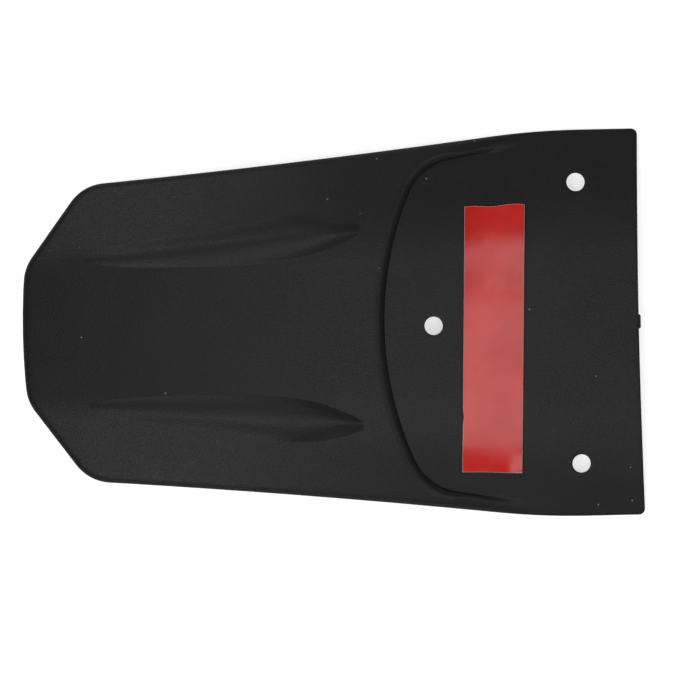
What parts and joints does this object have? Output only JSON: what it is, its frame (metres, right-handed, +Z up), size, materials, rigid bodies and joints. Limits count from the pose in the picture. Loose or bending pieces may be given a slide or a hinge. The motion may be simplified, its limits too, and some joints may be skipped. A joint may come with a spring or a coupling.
{
  "type": "rear fender extension",
  "caption": "Arched plastic panel that lengthens a rear fender, with a sunk mounting pad, screw holes and a strip of tape under a red liner.",
  "frame": {"origin": "bottom centre of the whole object's box", "axes": "+X along the panel towards the mounting end, +Y across it, +Z up out of its arched outer side"},
  "size_m": [0.2199, 0.1374, 0.0171],
  "materials": {
    "panel_plastic": "finely grained, satin black",
    "tape_foam": "pale grey foam, matt",
    "liner_film": "smooth red film, glossy"
  },
  "bodies": {
    "root": {"fender_panel": "panel_plastic", "adhesive_tape": "tape_foam", "release_liner": "liner_film"}
  },
  "joints": []
}
